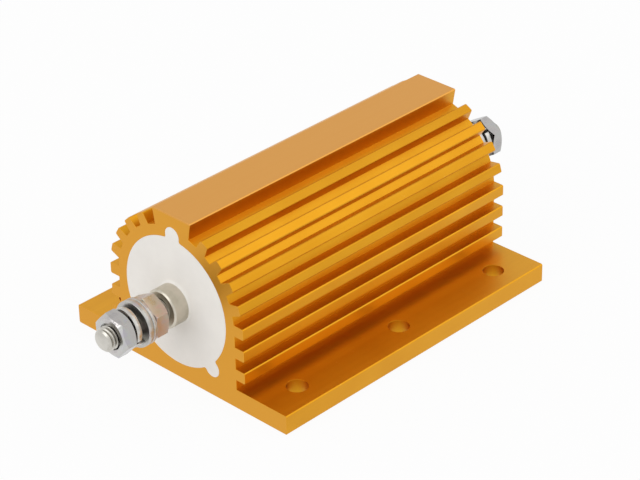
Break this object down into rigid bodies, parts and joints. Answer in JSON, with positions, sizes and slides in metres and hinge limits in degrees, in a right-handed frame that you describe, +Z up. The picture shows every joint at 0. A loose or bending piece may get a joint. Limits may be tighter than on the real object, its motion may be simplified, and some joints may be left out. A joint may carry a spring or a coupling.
{
  "type": "aluminium housed power resistor",
  "caption": "Flanged finned aluminium housing with a cemented wound element and threaded terminal studs with nuts and washers.",
  "frame": {"origin": "centre of the underside of the mounting flange", "axes": "+X along the extrusion from the front terminal to the rear one, +Y across the flange, +Z up away from the mounting face"},
  "size_m": [0.1386, 0.0724, 0.0446],
  "materials": {
    "anodised_housing": "gold anodised, satin",
    "cement": "matte",
    "core_ceramic": "matte",
    "resistance_wire": "drawn",
    "cap_steel": "satin",
    "stud_plating": "dull nickel plated",
    "nut_plating": "bright nickel plated",
    "washer_plating": "bright nickel plated",
    "spring_plating": "zinc plated"
  },
  "bodies": {
    "root": {"housing": "anodised_housing", "ceramic_core": "core_ceramic", "resistance_winding": "resistance_wire", "front_end_cap": "cap_steel", "rear_end_cap": "cap_steel", "cement_fill": "cement", "front_terminal_stud": "stud_plating", "rear_terminal_stud": "stud_plating", "front_inner_nut": "nut_plating", "front_backing_washer": "washer_plating", "front_flat_washer": "washer_plating", "front_spring_washer": "spring_plating", "front_outer_nut": "nut_plating", "rear_inner_nut": "nut_plating", "rear_backing_washer": "washer_plating", "rear_flat_washer": "washer_plating", "rear_spring_washer": "spring_plating", "rear_outer_nut": "nut_plating"}
  },
  "joints": []
}
